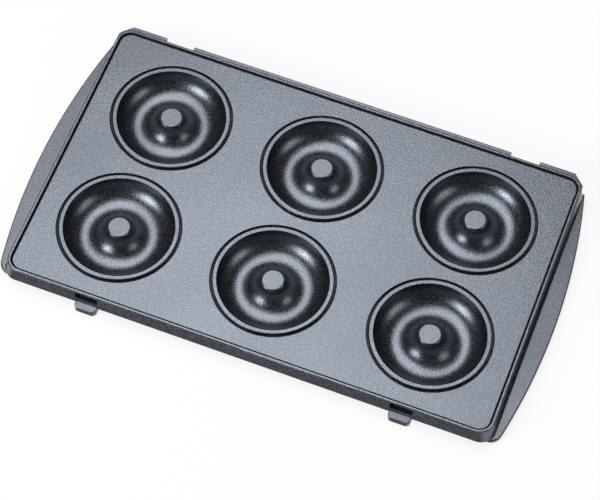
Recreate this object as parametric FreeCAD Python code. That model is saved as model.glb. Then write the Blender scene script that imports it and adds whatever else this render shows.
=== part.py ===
import FreeCAD, Part
import math
import os

Vector = FreeCAD.Vector
UP = Vector(0, 0, 1)
SAME_PLACE = 1e-4

# Interchangeable donut plate, in millimetres. +X runs to the right along the plate, +Y to its rear,
# +Z up. The origin lies under the middle of the plate, on the surface that it stands on.

# Cup pattern
COLUMNS = ("left", "center", "right")
ROWS = ("front", "rear")
PITCH_X = 69.3
PITCH_Y = 58.4

# Donut ring: a round section whose middle lies at the lip's top, where two plates meet
RING_RADIUS = 14.35
SECTION_RADIUS = 9.2
CUP_WALL = 1.6
FOOT_WIDTH = 3.0

# Levels, measured from the flat bed
LIP_HEIGHT = 0.95
LAND_HEIGHT = 0.5
GROOVE_DEPTH = 1.5
FLANGE_THICKNESS = 0.9
SEAT_THICKNESS = 1.0
SKIRT_DEPTH = 6.8

# Land, groove and the seat of a cup in the bed
MOUTH_EDGE_RADIUS = 0.2
LAND_WIDTH = 1.85
LAND_EDGE_RADIUS = 0.3
GROOVE_WIDTH = 1.3
FLANGE_CLEARANCE = 0.1
CUP_CLEARANCE = 0.15

# Center post, level with the land, pressed into the hub of its cup
POST_HEIGHT = 1.4
POST_EDGE_RADIUS = 1.0
SPIGOT_RADIUS = 2.4
SPIGOT_CLEARANCE = 0.03
SPIGOT_PROTRUSION = 0.4
HUB_ROOF = 1.6

# Base plate: bed, lip and skirt
BED_LENGTH = 209.6
BED_WIDTH = 125.2
BED_CORNER_RADIUS = 4.6
LIP_RUN = 1.0
LIP_TOP_WIDTH = 1.1
LIP_OUTER_EDGE_RADIUS = 0.5
LIP_INNER_EDGE_RADIUS = 0.25
SKIRT_WALL = 2.0
END_FLARE = 1.5
SIDE_FLARE = 0.4

# End grips: segments of a large disc, whose roots lie under the foot of the end walls
GRIP_DEPTH = 7.7
GRIP_RADIUS = 290.0
GRIP_MIDDLE_Y = -4.0
GRIP_FRONT_INSET = 2.2
GRIP_REAR_INSET = 3.0
GRIP_THICKNESS = 2.2
GRIP_LAP = 0.3
GRIP_ROOT = 3.0
GRIP_CORNER_RADIUS = 5.0
GRIP_EDGE_RADIUS = 0.5

# Front lugs and the pockets above them, in line with the outer columns of cups
LUG_DEPTH = 2.7
LUG_WIDTH = 9.8
LUG_THICKNESS = 3.4
LUG_LAP = 0.5
LUG_FALL = 0.8
LUG_ROOT = 3.0
LUG_CORNER_RADIUS = 2.0
LUG_EDGE_RADIUS = 0.45
POCKET_DROP = 0.7
POCKET_HEIGHT = 4.1
POCKET_DEPTH = 1.3

# Rear ledge and corner tabs, at the level of the lip
LEDGE_DEPTH = 1.7
LEDGE_DROP = 0.15
LEDGE_THICKNESS = 2.0
LEDGE_EDGE_RADIUS = 0.3
LEDGE_HALF_LENGTH = 73.3
TAB_GAP = 12.9
TAB_DIAGONAL = 5.0

# Heights above the standing surface, worked out from the sizes above
OUTER_SECTION = SECTION_RADIUS + CUP_WALL
LIP_TOP = math.sqrt(OUTER_SECTION ** 2 - (FOOT_WIDTH / 2) ** 2)
BED_TOP = LIP_TOP - LIP_HEIGHT
LAND_TOP = BED_TOP + LAND_HEIGHT
GROOVE_FLOOR = BED_TOP - GROOVE_DEPTH
GROOVE_SHOULDER = GROOVE_FLOOR + GROOVE_WIDTH / 2
SEAT_TOP = GROOVE_FLOOR - FLANGE_THICKNESS
BED_UNDERSIDE = SEAT_TOP - SEAT_THICKNESS
SKIRT_BOTTOM = BED_TOP - SKIRT_DEPTH
GRIP_TOP = SKIRT_BOTTOM + GRIP_LAP
LUG_TOP = SKIRT_BOTTOM + LUG_LAP
LEDGE_TOP = LIP_TOP - LEDGE_DROP
HUB_TOP = LAND_TOP - POST_HEIGHT
HUB_UNDERSIDE = HUB_TOP - HUB_ROOF


def ring_half_width(section, height):
    """Half the width of the donut's section, or of the cup's outside, at a height."""
    return math.sqrt(section ** 2 - (LIP_TOP - height) ** 2)


# Radii about a cup's axis
MOUTH_RADIUS = RING_RADIUS + ring_half_width(SECTION_RADIUS, LAND_TOP)
LAND_RADIUS = MOUTH_RADIUS + LAND_WIDTH
OPENING_RADIUS = LAND_RADIUS + GROOVE_WIDTH
FLANGE_RADIUS = OPENING_RADIUS - FLANGE_CLEARANCE
SEAT_RADIUS = RING_RADIUS + ring_half_width(OUTER_SECTION, SEAT_TOP) + CUP_CLEARANCE
HUB_RADIUS = RING_RADIUS - ring_half_width(SECTION_RADIUS, HUB_TOP)
BORE_RADIUS = SPIGOT_RADIUS + SPIGOT_CLEARANCE

# Half sizes of the plate's outlines
LIP_INNER_X = BED_LENGTH / 2 + LIP_RUN
LIP_INNER_Y = BED_WIDTH / 2 + LIP_RUN
LIP_OUTER_X = LIP_INNER_X + LIP_TOP_WIDTH
LIP_OUTER_Y = LIP_INNER_Y + LIP_TOP_WIDTH
LIP_CORNER_RADIUS = BED_CORNER_RADIUS + LIP_RUN + LIP_TOP_WIDTH
SKIRT_X = LIP_OUTER_X + END_FLARE
SKIRT_Y = LIP_OUTER_Y + SIDE_FLARE
GRIP_REACH = SKIRT_X + GRIP_DEPTH
LUG_REACH = SKIRT_Y + LUG_DEPTH
LEDGE_REACH = LIP_OUTER_Y + LEDGE_DEPTH
TAB_INNER_X = LEDGE_HALF_LENGTH + TAB_GAP
TAB_OUTER_X = LIP_OUTER_X - TAB_DIAGONAL

# The pieces are drawn about the middle of the cups, and moved so that the whole plate is centered
CENTERING = Vector(0, (LUG_REACH - LEDGE_REACH) / 2, 0)


def rounded_rectangle(half_x, half_y, radius, z):
    """Closed wire of a rectangle with round corners, at height z."""
    corners = []
    for sign_x, sign_y, start in ((1, -1, -90), (1, 1, 0), (-1, 1, 90), (-1, -1, 180)):
        middle = Vector(sign_x * (half_x - radius), sign_y * (half_y - radius), z)
        circle = Part.Circle(middle, UP, radius)
        corners.append(Part.Arc(circle, math.radians(start), math.radians(start + 90)).toShape())
    edges = []
    for index, corner in enumerate(corners):
        following = corners[(index + 1) % len(corners)]
        edges.append(corner)
        edges.append(Part.makeLine(corner.Vertexes[-1].Point, following.Vertexes[0].Point))
    return Part.Wire(edges)


def tapered_block(lower, upper):
    """Solid with straight walls between two rounded rectangles."""
    return Part.makeLoft([rounded_rectangle(*lower), rounded_rectangle(*upper)], True, True)


def box_between(low, high):
    size = high - low
    return Part.makeBox(size.x, size.y, size.z, low)


def turned(edges):
    """Solid of revolution about Z from the edges of a profile in the XZ plane."""
    return Part.Face(Part.Wire(edges)).revolve(Vector(0, 0, 0), UP, 360)


def at(radius, height):
    return Vector(radius, 0, height)


def arc_about_ring(section, start, end, turn):
    """Arc round the middle of the donut's section from one profile point to another."""
    middle = at(RING_RADIUS, LIP_TOP)
    half = math.radians(turn)
    passing = middle + at(math.cos(half) * section, math.sin(half) * section)
    return Part.Arc(start, passing, end).toShape()


def polyline(points):
    return [Part.makeLine(first, second) for first, second in zip(points, points[1:])]


def edges_where(shape, test):
    return [edge for edge in shape.Edges if test(edge)]


def lies_at(edge, z):
    return edge.BoundBox.ZLength < SAME_PLACE and abs(edge.CenterOfMass.z - z) < SAME_PLACE


def is_upright(edge):
    box = edge.BoundBox
    return box.ZLength > SAME_PLACE and max(box.XLength, box.YLength) < SAME_PLACE


def has_radius(edge, radius):
    return isinstance(edge.Curve, Part.Circle) and abs(edge.Curve.Radius - radius) < SAME_PLACE


def cup_places():
    """Name and axis of each cup."""
    for row, row_name in enumerate(ROWS):
        for column, column_name in enumerate(COLUMNS):
            x = (column - (len(COLUMNS) - 1) / 2) * PITCH_X
            y = (row - (len(ROWS) - 1) / 2) * PITCH_Y
            yield f"{row_name}_{column_name}", Vector(x, y, 0)


def rounding(flat_end, side_start):
    """Quarter arc from the end of a flat top, outwards and down to the start of a side."""
    lean = math.sqrt(0.5)
    reach = side_start.x - flat_end.x
    fall = flat_end.z - side_start.z
    return Part.Arc(flat_end, flat_end + at(reach * lean, fall * (lean - 1)), side_start).toShape()


def donut_cup():
    """Ring trough with a hollow hub, a flat land round its mouth and a flange with a V groove."""
    hub_edge = at(HUB_RADIUS, HUB_TOP)
    trough_end = at(MOUTH_RADIUS, LAND_TOP)
    land_flat_end = at(LAND_RADIUS - LAND_EDGE_RADIUS, LAND_TOP)
    land_side_start = at(LAND_RADIUS, LAND_TOP - LAND_EDGE_RADIUS)
    wall_top = at(RING_RADIUS + ring_half_width(OUTER_SECTION, SEAT_TOP), SEAT_TOP)
    foot_outside = at(RING_RADIUS + FOOT_WIDTH / 2, 0)
    foot_inside = at(RING_RADIUS - FOOT_WIDTH / 2, 0)
    hollow_top = at(RING_RADIUS - ring_half_width(OUTER_SECTION, HUB_UNDERSIDE), HUB_UNDERSIDE)
    bore_bottom = at(BORE_RADIUS, HUB_UNDERSIDE)
    bore_top = at(BORE_RADIUS, HUB_TOP)

    edges = polyline([bore_bottom, bore_top, hub_edge])
    edges.append(arc_about_ring(SECTION_RADIUS, hub_edge, trough_end, -90))
    edges += polyline([trough_end, land_flat_end])
    edges.append(rounding(land_flat_end, land_side_start))
    edges += polyline([
        land_side_start,
        at(LAND_RADIUS, GROOVE_SHOULDER),
        at((LAND_RADIUS + FLANGE_RADIUS) / 2, GROOVE_FLOOR),
        at(FLANGE_RADIUS, GROOVE_SHOULDER),
        at(FLANGE_RADIUS, SEAT_TOP),
        wall_top,
    ])
    edges.append(arc_about_ring(OUTER_SECTION, wall_top, foot_outside, -45))
    edges += polyline([foot_outside, foot_inside])
    edges.append(arc_about_ring(OUTER_SECTION, foot_inside, hollow_top, -135))
    edges += polyline([hollow_top, bore_bottom])
    cup = turned(edges)
    mouth = edges_where(cup, lambda edge: lies_at(edge, LAND_TOP) and has_radius(edge, MOUTH_RADIUS))
    return cup.makeFillet(MOUTH_EDGE_RADIUS, mouth)


def center_post():
    """Flat-topped pin whose side carries on the hub's, with a spigot through the hub's roof."""
    spigot_end = HUB_UNDERSIDE - SPIGOT_PROTRUSION
    side_top = LAND_TOP - POST_EDGE_RADIUS
    side_start = at(RING_RADIUS - ring_half_width(SECTION_RADIUS, side_top), side_top)
    side_end = at(HUB_RADIUS, HUB_TOP)
    flat_end = at(side_start.x - POST_EDGE_RADIUS, LAND_TOP)

    edges = polyline([at(0, LAND_TOP), flat_end])
    edges.append(rounding(flat_end, side_start))
    edges += polyline([
        side_start,
        side_end,
        at(SPIGOT_RADIUS, HUB_TOP),
        at(SPIGOT_RADIUS, spigot_end),
        at(0, spigot_end),
        at(0, LAND_TOP),
    ])
    return turned(edges)


def skirt_block():
    """Outside of the base plate, filled: a drafted block from the skirt's foot to the lip's top."""
    return tapered_block(
        (SKIRT_X, SKIRT_Y, LIP_CORNER_RADIUS, SKIRT_BOTTOM),
        (LIP_OUTER_X, LIP_OUTER_Y, LIP_CORNER_RADIUS, LIP_TOP),
    )


def end_grip(block):
    """Right-hand grip: a slice of a disc with a round front corner, fitted to the end wall and its foot."""
    bottom = GRIP_TOP - GRIP_THICKNESS
    disc_middle = Vector(GRIP_REACH - GRIP_RADIUS, GRIP_MIDDLE_Y, bottom)
    disc = Part.makeCylinder(GRIP_RADIUS, GRIP_THICKNESS, disc_middle)
    root_x = SKIRT_X - SKIRT_WALL - GRIP_ROOT
    grip = disc.common(box_between(
        Vector(root_x, GRIP_FRONT_INSET - SKIRT_Y, bottom),
        Vector(GRIP_REACH, SKIRT_Y - GRIP_REAR_INSET, GRIP_TOP),
    ))
    corner = edges_where(grip, lambda edge: is_upright(edge) and edge.CenterOfMass.x > root_x + GRIP_ROOT
                         and edge.CenterOfMass.y < GRIP_MIDDLE_Y)
    grip = grip.makeFillet(GRIP_CORNER_RADIUS, corner)
    rim = edges_where(grip, lambda edge: has_radius(edge, GRIP_RADIUS) or has_radius(edge, GRIP_CORNER_RADIUS))
    return grip.makeFillet(GRIP_EDGE_RADIUS, rim).cut(block)


def front_lug(block):
    """Right-hand lug whose top falls to the front, fitted to the front wall and its foot."""
    bottom = LUG_TOP - LUG_THICKNESS
    root_y = SKIRT_WALL + LUG_ROOT - SKIRT_Y
    slope = LUG_FALL / LUG_DEPTH
    root_top = LUG_TOP + slope * (root_y + SKIRT_Y)
    side_x = PITCH_X - LUG_WIDTH / 2
    profile = [
        Vector(side_x, root_y, bottom),
        Vector(side_x, -LUG_REACH, bottom),
        Vector(side_x, -LUG_REACH, LUG_TOP - LUG_FALL),
        Vector(side_x, root_y, root_top),
    ]
    face = Part.Face(Part.Wire(polyline(profile + profile[:1])))
    lug = face.extrude(Vector(LUG_WIDTH, 0, 0))
    corners = edges_where(lug, lambda edge: is_upright(edge) and edge.CenterOfMass.y < -SKIRT_Y)
    lug = lug.makeFillet(LUG_CORNER_RADIUS, corners)
    rim = edges_where(lug, lambda edge: edge.BoundBox.ZMin > bottom + SAME_PLACE and not is_upright(edge)
                      and edge.CenterOfMass.y < -SKIRT_Y)
    return lug.makeFillet(LUG_EDGE_RADIUS, rim).cut(block)


def lug_pocket():
    """Recess in the front wall above the right-hand lug."""
    top = LIP_TOP - POCKET_DROP
    low = Vector(PITCH_X - LUG_WIDTH / 2, -LUG_REACH, top - POCKET_HEIGHT)
    high = Vector(PITCH_X + LUG_WIDTH / 2, POCKET_DEPTH - LIP_OUTER_Y, top)
    return box_between(low, high)


def ledge_from(outline, block):
    """Ledge of the given plan outline, fitted against the outside of the base plate."""
    low = [Vector(x, y, LEDGE_TOP - LEDGE_THICKNESS) for x, y in outline]
    face = Part.Face(Part.Wire(polyline(low + low[:1])))
    ledge = face.extrude(UP * LEDGE_THICKNESS).cut(block)
    rim = edges_where(ledge, lambda edge: lies_at(edge, LEDGE_TOP)
                      and abs(edge.CenterOfMass.y - LEDGE_REACH) < SAME_PLACE)
    return ledge.makeFillet(LEDGE_EDGE_RADIUS, rim)


def rear_ledge(block):
    return ledge_from([
        (-LEDGE_HALF_LENGTH, LIP_INNER_Y),
        (LEDGE_HALF_LENGTH, LIP_INNER_Y),
        (LEDGE_HALF_LENGTH, LEDGE_REACH),
        (-LEDGE_HALF_LENGTH, LEDGE_REACH),
    ], block)


def rear_tab(block):
    """Right-hand corner tab, which squares off the lip's corner with a diagonal end."""
    corner_x = LIP_OUTER_X - LIP_CORNER_RADIUS
    corner_y = LIP_OUTER_Y - LIP_CORNER_RADIUS
    return ledge_from([
        (TAB_INNER_X, LIP_INNER_Y),
        (corner_x, LIP_INNER_Y),
        (corner_x, corner_y),
        (LIP_OUTER_X, corner_y),
        (LIP_OUTER_X, LEDGE_REACH - TAB_DIAGONAL),
        (TAB_OUTER_X, LEDGE_REACH),
        (TAB_INNER_X, LEDGE_REACH),
    ], block)


def mirrored(shape):
    return shape.mirror(Vector(0, 0, 0), Vector(1, 0, 0))


def with_round_lip(plate):
    """The plate with both edges of its lip's flat top rounded."""
    top = [face for face in plate.Faces if all(lies_at(edge, LIP_TOP) for edge in face.Edges)][0]
    outer = top.OuterWire.Edges
    plate = plate.makeFillet(LIP_OUTER_EDGE_RADIUS, outer)
    inner = edges_where(plate, lambda edge: lies_at(edge, LIP_TOP)
                        and edge.BoundBox.XLength < BED_LENGTH + LIP_RUN
                        and abs(edge.CenterOfMass.x) < LIP_INNER_X + SAME_PLACE
                        and abs(edge.CenterOfMass.y) < LIP_INNER_Y + SAME_PLACE)
    return plate.makeFillet(LIP_INNER_EDGE_RADIUS, inner)


def base_plate(block):
    """Bed, lip and skirt, with a stepped opening for each cup and a pocket above each lug."""
    plate = with_round_lip(block.cut(tapered_block(
        (BED_LENGTH / 2, BED_WIDTH / 2, BED_CORNER_RADIUS, BED_TOP),
        (LIP_INNER_X, LIP_INNER_Y, BED_CORNER_RADIUS + LIP_RUN, LIP_TOP),
    )))
    inner_radius = LIP_CORNER_RADIUS - SKIRT_WALL
    rise = (BED_UNDERSIDE - SKIRT_BOTTOM) / (LIP_TOP - SKIRT_BOTTOM)
    plate = plate.cut(tapered_block(
        (SKIRT_X - SKIRT_WALL, SKIRT_Y - SKIRT_WALL, inner_radius, SKIRT_BOTTOM),
        (SKIRT_X - SKIRT_WALL - END_FLARE * rise, SKIRT_Y - SKIRT_WALL - SIDE_FLARE * rise,
         inner_radius, BED_UNDERSIDE),
    ))
    for _, axis in cup_places():
        through = Part.makeCylinder(SEAT_RADIUS, BED_TOP, axis)
        counterbore = Part.makeCylinder(OPENING_RADIUS, LIP_TOP - SEAT_TOP, axis + UP * SEAT_TOP)
        plate = plate.cut(through.fuse(counterbore))
    pocket = lug_pocket()
    return plate.cut(pocket).cut(mirrored(pocket))


def write(name, shape):
    placed = shape.translated(CENTERING)
    solid = placed.Solids[0]
    if len(placed.Solids) != 1 or not solid.isValid():
        raise ValueError(f"{name} is not one valid solid")
    solid.exportStep(f"parts/{name}.step")


def main():
    os.makedirs("parts", exist_ok=True)
    block = skirt_block()
    write("base_plate", base_plate(block))

    cup = donut_cup()
    post = center_post()
    for place, axis in cup_places():
        write(f"donut_cup_{place}", cup.translated(axis))
        write(f"center_post_{place}", post.translated(axis))

    write("rear_ledge", rear_ledge(block))
    for name, make in (("end_grip", end_grip), ("front_lug", front_lug), ("rear_tab", rear_tab)):
        piece = make(block)
        write(f"{name}_right", piece)
        write(f"{name}_left", mirrored(piece))


main()
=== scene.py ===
import math

import bpy
from mathutils import Matrix, Vector


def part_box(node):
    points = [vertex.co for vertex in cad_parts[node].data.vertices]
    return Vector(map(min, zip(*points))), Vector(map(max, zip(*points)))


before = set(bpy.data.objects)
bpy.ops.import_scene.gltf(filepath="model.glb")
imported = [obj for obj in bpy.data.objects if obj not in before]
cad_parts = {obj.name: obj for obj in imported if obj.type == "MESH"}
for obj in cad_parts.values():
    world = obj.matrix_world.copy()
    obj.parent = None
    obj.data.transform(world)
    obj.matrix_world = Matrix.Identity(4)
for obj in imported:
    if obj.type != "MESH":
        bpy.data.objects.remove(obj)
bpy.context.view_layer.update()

# Camera, in metres, degrees and, for the lens, millimetres: it looks down on the plate from the front right
CAMERA_TARGET = Vector((0.00535, -0.0109, 0.00975))
CAMERA_DISTANCE = 1.0273
CAMERA_AZIMUTH = 17.75
CAMERA_ELEVATION = 60.82
CAMERA_ROLL = 3.29
CAMERA_REACH = 24.0
SENSOR_WIDTH = 36.0
LENS = 147.05

# Lamps: direction from the plate, then distance, half width and half length in metres, and power in watts
OVERHEAD_LAMP = (Vector((-0.165, 0.19, 0.965)), 1.28, 0.41, 0.63, 12.5)
KEY_LAMP = (Vector((-0.55, -0.69, 0.48)), 1.3, 0.34, 0.34, 12.2)
FILL_LAMP = (Vector((0.86, -0.05, 0.49)), 1.3, 0.34, 0.34, 3.0)
WORLD_LEVEL = 0.06

# Floor: its colour, and the share of plain white that the camera and reflections see on it
FLOOR_HALF_SIZE = 6.0
FLOOR_COLOR = (0.86, 0.86, 0.86, 1.0)
FLOOR_GLOW = 0.82
WHITE = (1.0, 1.0, 1.0, 1.0)

# Coating colours: the dark base, the mineral flecks of three strengths, the darkest a painted shade for the
# cups, the lip slope and the pockets, and the tint of reflections
COAT_COLOR = (0.002, 0.0023, 0.003, 1.0)
FLAT_FLECK_COLOR = (0.095, 0.10, 0.115, 1.0)
FINE_FLECK_COLOR = (0.06, 0.063, 0.073, 1.0)
PAINTED_SHADE_FLECK_COLOR = (0.012, 0.013, 0.017, 1.0)
COAT_TINT = (0.77, 0.86, 1.0, 1.0)

# Coating gloss: refraction index, and roughness, as two limits or as one value for walls
COAT_IOR = 1.95
GRIP_IOR = 1.84
LUG_IOR = 2.1
CUP_IOR = 2.1
LIP_IOR = 1.2
POCKET_IOR = 1.5
FLAT_ROUGHNESS = (0.24, 0.29)
CUP_ROUGHNESS = (0.205, 0.405)
RECESS_ROUGHNESS = (0.55, 0.65)
WALL_ROUGHNESS = 1.0
CUP_WALL_ROUGHNESS = 0.33
LIP_WALL_ROUGHNESS = 0.65

# Coating texture: height of the grain in metres, waves per metre of each noise, and the limits of its values
FLAT_GRAIN = 0.00006
FINE_GRAIN = 0.000015
CUP_GRAIN = 0.000065
GRAIN_SCALE = 1300.0
GRAIN_DETAIL = 3.0
GRAIN_ROUGHNESS = 0.6
FLECK_SCALE = 1350.0
FLECK_DETAIL = 2.0
FLECK_LIMITS = (0.46, 0.68)
CLOUD_SCALE = 28.0
GLOSS_DETAIL = 2.0
GLOSS_LIMITS = (0.3, 0.7)

# Upright faces get fewer flecks, a painted shade that darkens the walls, and those that face the front or
# the back get the roughness of walls
LEVEL_FACING = (0.3, 0.8)
WALL_SHADE_FLECK_SHARE = 0.91
WALL_FACING = (0.97, 0.85)

# Coats: refraction index, fleck colour, grain height, roughness, roughness of walls, and waves of the gloss
COATS = {
    "coat_flat": (COAT_IOR, FLAT_FLECK_COLOR, FLAT_GRAIN, FLAT_ROUGHNESS, WALL_ROUGHNESS, CLOUD_SCALE),
    "coat_fine": (COAT_IOR, FINE_FLECK_COLOR, FINE_GRAIN, FLAT_ROUGHNESS, WALL_ROUGHNESS, CLOUD_SCALE),
    # The cup, lip and pocket coats take the darkest flecks as painted shade, and the lip and pocket coats a
    # lower refraction index too
    "coat_cup": (CUP_IOR, PAINTED_SHADE_FLECK_COLOR, CUP_GRAIN, CUP_ROUGHNESS, CUP_WALL_ROUGHNESS, FLECK_SCALE),
    "coat_lip_shade": (LIP_IOR, PAINTED_SHADE_FLECK_COLOR, FINE_GRAIN, RECESS_ROUGHNESS, LIP_WALL_ROUGHNESS, CLOUD_SCALE),
    "coat_pocket_shade": (POCKET_IOR, PAINTED_SHADE_FLECK_COLOR, FINE_GRAIN, RECESS_ROUGHNESS, WALL_ROUGHNESS, CLOUD_SCALE),
    "coat_grip": (GRIP_IOR, FINE_FLECK_COLOR, FINE_GRAIN, FLAT_ROUGHNESS, WALL_ROUGHNESS, CLOUD_SCALE),
    "coat_lug": (LUG_IOR, FINE_FLECK_COLOR, FINE_GRAIN, FLAT_ROUGHNESS, WALL_ROUGHNESS, CLOUD_SCALE),
}

# Coats by the first two words of a node's name; the other nodes get the flat coat
NODE_COATS = {
    "donut_cup": "coat_cup",
    "center_post": "coat_fine",
    "front_lug": "coat_lug",
    "end_grip": "coat_grip",
}

# Recesses of the base plate that get painted shade, in metres: the lip's inner slope, also by the Z of its
# normals, and the pockets
LIP_FOOT = 0.00976
LIP_FACING = (0.40, 0.94)
POCKET_HEIGHTS = (0.0058, 0.0101)
POCKET_BACK = -0.0626
POCKET_MARGIN = 0.0001


def add_node(tree, kind, **inputs):
    """A shader node with some of its input sockets set."""
    node = tree.nodes.new(kind)
    for name, value in inputs.items():
        node.inputs[name.replace("_", " ")].default_value = value
    return node


def add_math(tree, operation, *values):
    """Math node over sockets and plain numbers."""
    node = tree.nodes.new("ShaderNodeMath")
    node.operation = operation
    for socket, value in zip(node.inputs, values):
        if isinstance(value, float):
            socket.default_value = value
        else:
            tree.links.new(value, socket)
    return node.outputs["Value"]


def add_ramp(tree, factor, limits, colors):
    """Colour ramp from one colour to another between two limits of the factor."""
    ramp = tree.nodes.new("ShaderNodeValToRGB")
    for element, position, color in zip(ramp.color_ramp.elements, limits, colors):
        element.position = position
        element.color = color
    tree.links.new(factor, ramp.inputs["Fac"])
    return ramp.outputs["Color"]


def grey(level):
    """Opaque grey of a level."""
    return (level, level, level, 1.0)


def coat_material(name, ior, fleck_color, grain_height, roughness, wall_roughness, gloss_scale):
    """Dark non-stick coating: a sprayed grain, fine mineral flecks and an uneven gloss, with fewer flecks on
    upright faces as a painted shade on the walls.
    """
    material = bpy.data.materials.new(name)
    material.use_nodes = True
    tree = material.node_tree
    shader = tree.nodes["Principled BSDF"]
    shader.inputs["IOR"].default_value = ior
    shader.inputs["Specular Tint"].default_value = COAT_TINT

    coordinates = add_node(tree, "ShaderNodeTexCoord")
    grain = add_node(
        tree, "ShaderNodeTexNoise", Scale=GRAIN_SCALE, Detail=GRAIN_DETAIL, Roughness=GRAIN_ROUGHNESS
    )
    flecks = add_node(tree, "ShaderNodeTexNoise", Scale=FLECK_SCALE, Detail=FLECK_DETAIL)
    clouds = add_node(tree, "ShaderNodeTexNoise", Scale=gloss_scale, Detail=GLOSS_DETAIL)
    for texture in (grain, flecks, clouds):
        tree.links.new(coordinates.outputs["Object"], texture.inputs["Vector"])
    normal = add_node(tree, "ShaderNodeSeparateXYZ")
    tree.links.new(coordinates.outputs["Normal"], normal.inputs["Vector"])

    # Painted shade: fewer flecks on upright faces make the walls darker
    upright, level = LEVEL_FACING
    share = add_node(
        tree, "ShaderNodeMapRange", From_Min=upright, From_Max=level, To_Min=WALL_SHADE_FLECK_SHARE
    )
    tree.links.new(normal.outputs["Z"], share.inputs["Value"])
    spread = add_math(tree, "MULTIPLY", flecks.outputs["Fac"], share.outputs["Result"])
    color = add_ramp(tree, spread, FLECK_LIMITS, (COAT_COLOR, fleck_color))
    tree.links.new(color, shader.inputs["Base Color"])

    gloss = add_ramp(tree, clouds.outputs["Fac"], GLOSS_LIMITS, [grey(limit) for limit in roughness])
    matte, glossy = WALL_FACING
    facing = add_node(tree, "ShaderNodeMapRange", From_Min=matte, From_Max=glossy)
    tree.links.new(add_math(tree, "ABSOLUTE", normal.outputs["Y"]), facing.inputs["Value"])
    sprayed = add_node(tree, "ShaderNodeMix", A=wall_roughness)
    tree.links.new(facing.outputs["Result"], sprayed.inputs["Factor"])
    tree.links.new(gloss, sprayed.inputs["B"])
    tree.links.new(sprayed.outputs["Result"], shader.inputs["Roughness"])

    bump = add_node(tree, "ShaderNodeBump", Distance=grain_height)
    tree.links.new(grain.outputs["Fac"], bump.inputs["Height"])
    tree.links.new(bump.outputs["Normal"], shader.inputs["Normal"])
    return material


def on_lip_slope(face):
    """Whether a face of the plate slopes from the top of the lip in toward the bed."""
    low, high = LIP_FACING
    faces_inward = face.normal.x * face.center.x + face.normal.y * face.center.y < 0
    return face.center.z > LIP_FOOT and low < face.normal.z < high and faces_inward


def in_pocket(face):
    """Whether a face of the plate lies in the pocket above one of the lugs."""
    low, high = POCKET_HEIGHTS
    if face.center.y > POCKET_BACK or not low < face.center.z < high:
        return False
    boxes = [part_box(name) for name in ("front_lug_left", "front_lug_right")]
    return any(box[0][0] - POCKET_MARGIN < face.center.x < box[1][0] + POCKET_MARGIN for box in boxes)


def paint_faces(node, material, belongs):
    """Another coat on the faces of a node that belong to one of its details."""
    node.data.materials.append(material)
    slot = len(node.data.materials) - 1
    for face in node.data.polygons:
        if belongs(face):
            face.material_index = slot


def paint_nodes():
    """A coat on each node, and darker copies as painted shade in the recesses of the base plate."""
    coats = {name: coat_material(name, *values) for name, values in COATS.items()}
    for name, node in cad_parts.items():
        kind = "_".join(name.split("_")[:2])
        node.data.materials.clear()
        node.data.materials.append(coats[NODE_COATS.get(kind, "coat_flat")])
    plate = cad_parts["base_plate"]
    # Painted shade: darker coats on the lip's inner slope and in the pockets
    paint_faces(plate, coats["coat_lip_shade"], on_lip_slope)
    paint_faces(plate, coats["coat_pocket_shade"], in_pocket)


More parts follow.
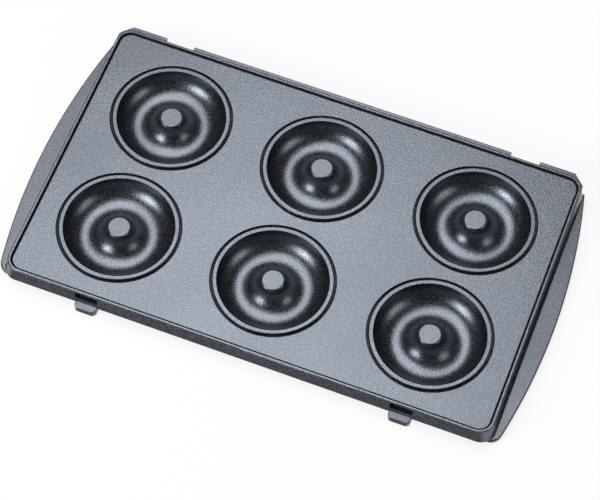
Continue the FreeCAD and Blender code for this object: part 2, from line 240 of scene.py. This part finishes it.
def add_floor():
    """Pale floor that the camera and reflections see as nearly white, with the plate's shadow on it."""
    material = bpy.data.materials.new("floor")
    material.use_nodes = True
    tree = material.node_tree
    tree.nodes.clear()
    output = add_node(tree, "ShaderNodeOutputMaterial")
    diffuse = add_node(tree, "ShaderNodeBsdfDiffuse", Color=FLOOR_COLOR)
    glow = add_node(tree, "ShaderNodeEmission", Color=WHITE)
    path = add_node(tree, "ShaderNodeLightPath")
    seen = path.outputs["Is Camera Ray"]
    for kind in ("Is Glossy Ray", "Is Transmission Ray"):
        seen = add_math(tree, "MAXIMUM", seen, path.outputs[kind])
    mix = add_node(tree, "ShaderNodeMixShader")
    tree.links.new(add_math(tree, "MULTIPLY", seen, FLOOR_GLOW), mix.inputs["Fac"])
    tree.links.new(diffuse.outputs["BSDF"], mix.inputs[1])
    tree.links.new(glow.outputs["Emission"], mix.inputs[2])
    tree.links.new(mix.outputs["Shader"], output.inputs["Surface"])

    half = FLOOR_HALF_SIZE
    corners = [(-half, -half, 0), (half, -half, 0), (half, half, 0), (-half, half, 0)]
    mesh = bpy.data.meshes.new("floor")
    mesh.from_pydata(corners, [], [(0, 1, 2, 3)])
    mesh.materials.append(material)
    floor = bpy.data.objects.new("floor", mesh)
    bpy.context.scene.collection.objects.link(floor)


def add_lamp(name, direction, distance, half_width, half_length, power):
    """Oval soft lamp that faces the middle of the plate, with its length along Y."""
    data = bpy.data.lights.new(name, "AREA")
    data.shape = "ELLIPSE"
    data.size = 2 * half_width
    data.size_y = 2 * half_length
    data.energy = power
    lamp = bpy.data.objects.new(name, data)
    toward = direction.normalized()
    across = Vector((0, 1, 0)).cross(toward).normalized()
    turn = Matrix((across, toward.cross(across), toward)).transposed().to_4x4()
    lamp.matrix_world = Matrix.Translation(toward * distance) @ turn
    bpy.context.scene.collection.objects.link(lamp)


def add_world():
    """Dim even light from all round."""
    world = bpy.data.worlds.new("studio")
    world.use_nodes = True
    world.node_tree.nodes["Background"].inputs["Color"].default_value = grey(WORLD_LEVEL)
    bpy.context.scene.world = world


def add_camera():
    """Camera on its target, with a slight roll."""
    azimuth = math.radians(CAMERA_AZIMUTH)
    elevation = math.radians(CAMERA_ELEVATION)
    away = Vector((
        math.sin(azimuth) * math.cos(elevation),
        -math.cos(azimuth) * math.cos(elevation),
        math.sin(elevation),
    ))
    data = bpy.data.cameras.new("camera")
    data.sensor_fit = "HORIZONTAL"
    data.sensor_width = SENSOR_WIDTH
    data.lens = LENS
    data.clip_end = CAMERA_REACH
    camera = bpy.data.objects.new("camera", data)
    turn = away.to_track_quat("Z", "Y").to_matrix().to_4x4()
    roll = Matrix.Rotation(math.radians(CAMERA_ROLL), 4, "Z")
    camera.matrix_world = Matrix.Translation(CAMERA_TARGET + away * CAMERA_DISTANCE) @ turn @ roll
    bpy.context.scene.collection.objects.link(camera)
    bpy.context.scene.camera = camera


paint_nodes()
add_floor()
add_world()
add_lamp("overhead", *OVERHEAD_LAMP)
add_lamp("key", *KEY_LAMP)
add_lamp("fill", *FILL_LAMP)
add_camera()
bpy.context.scene.view_settings.view_transform = "Standard"
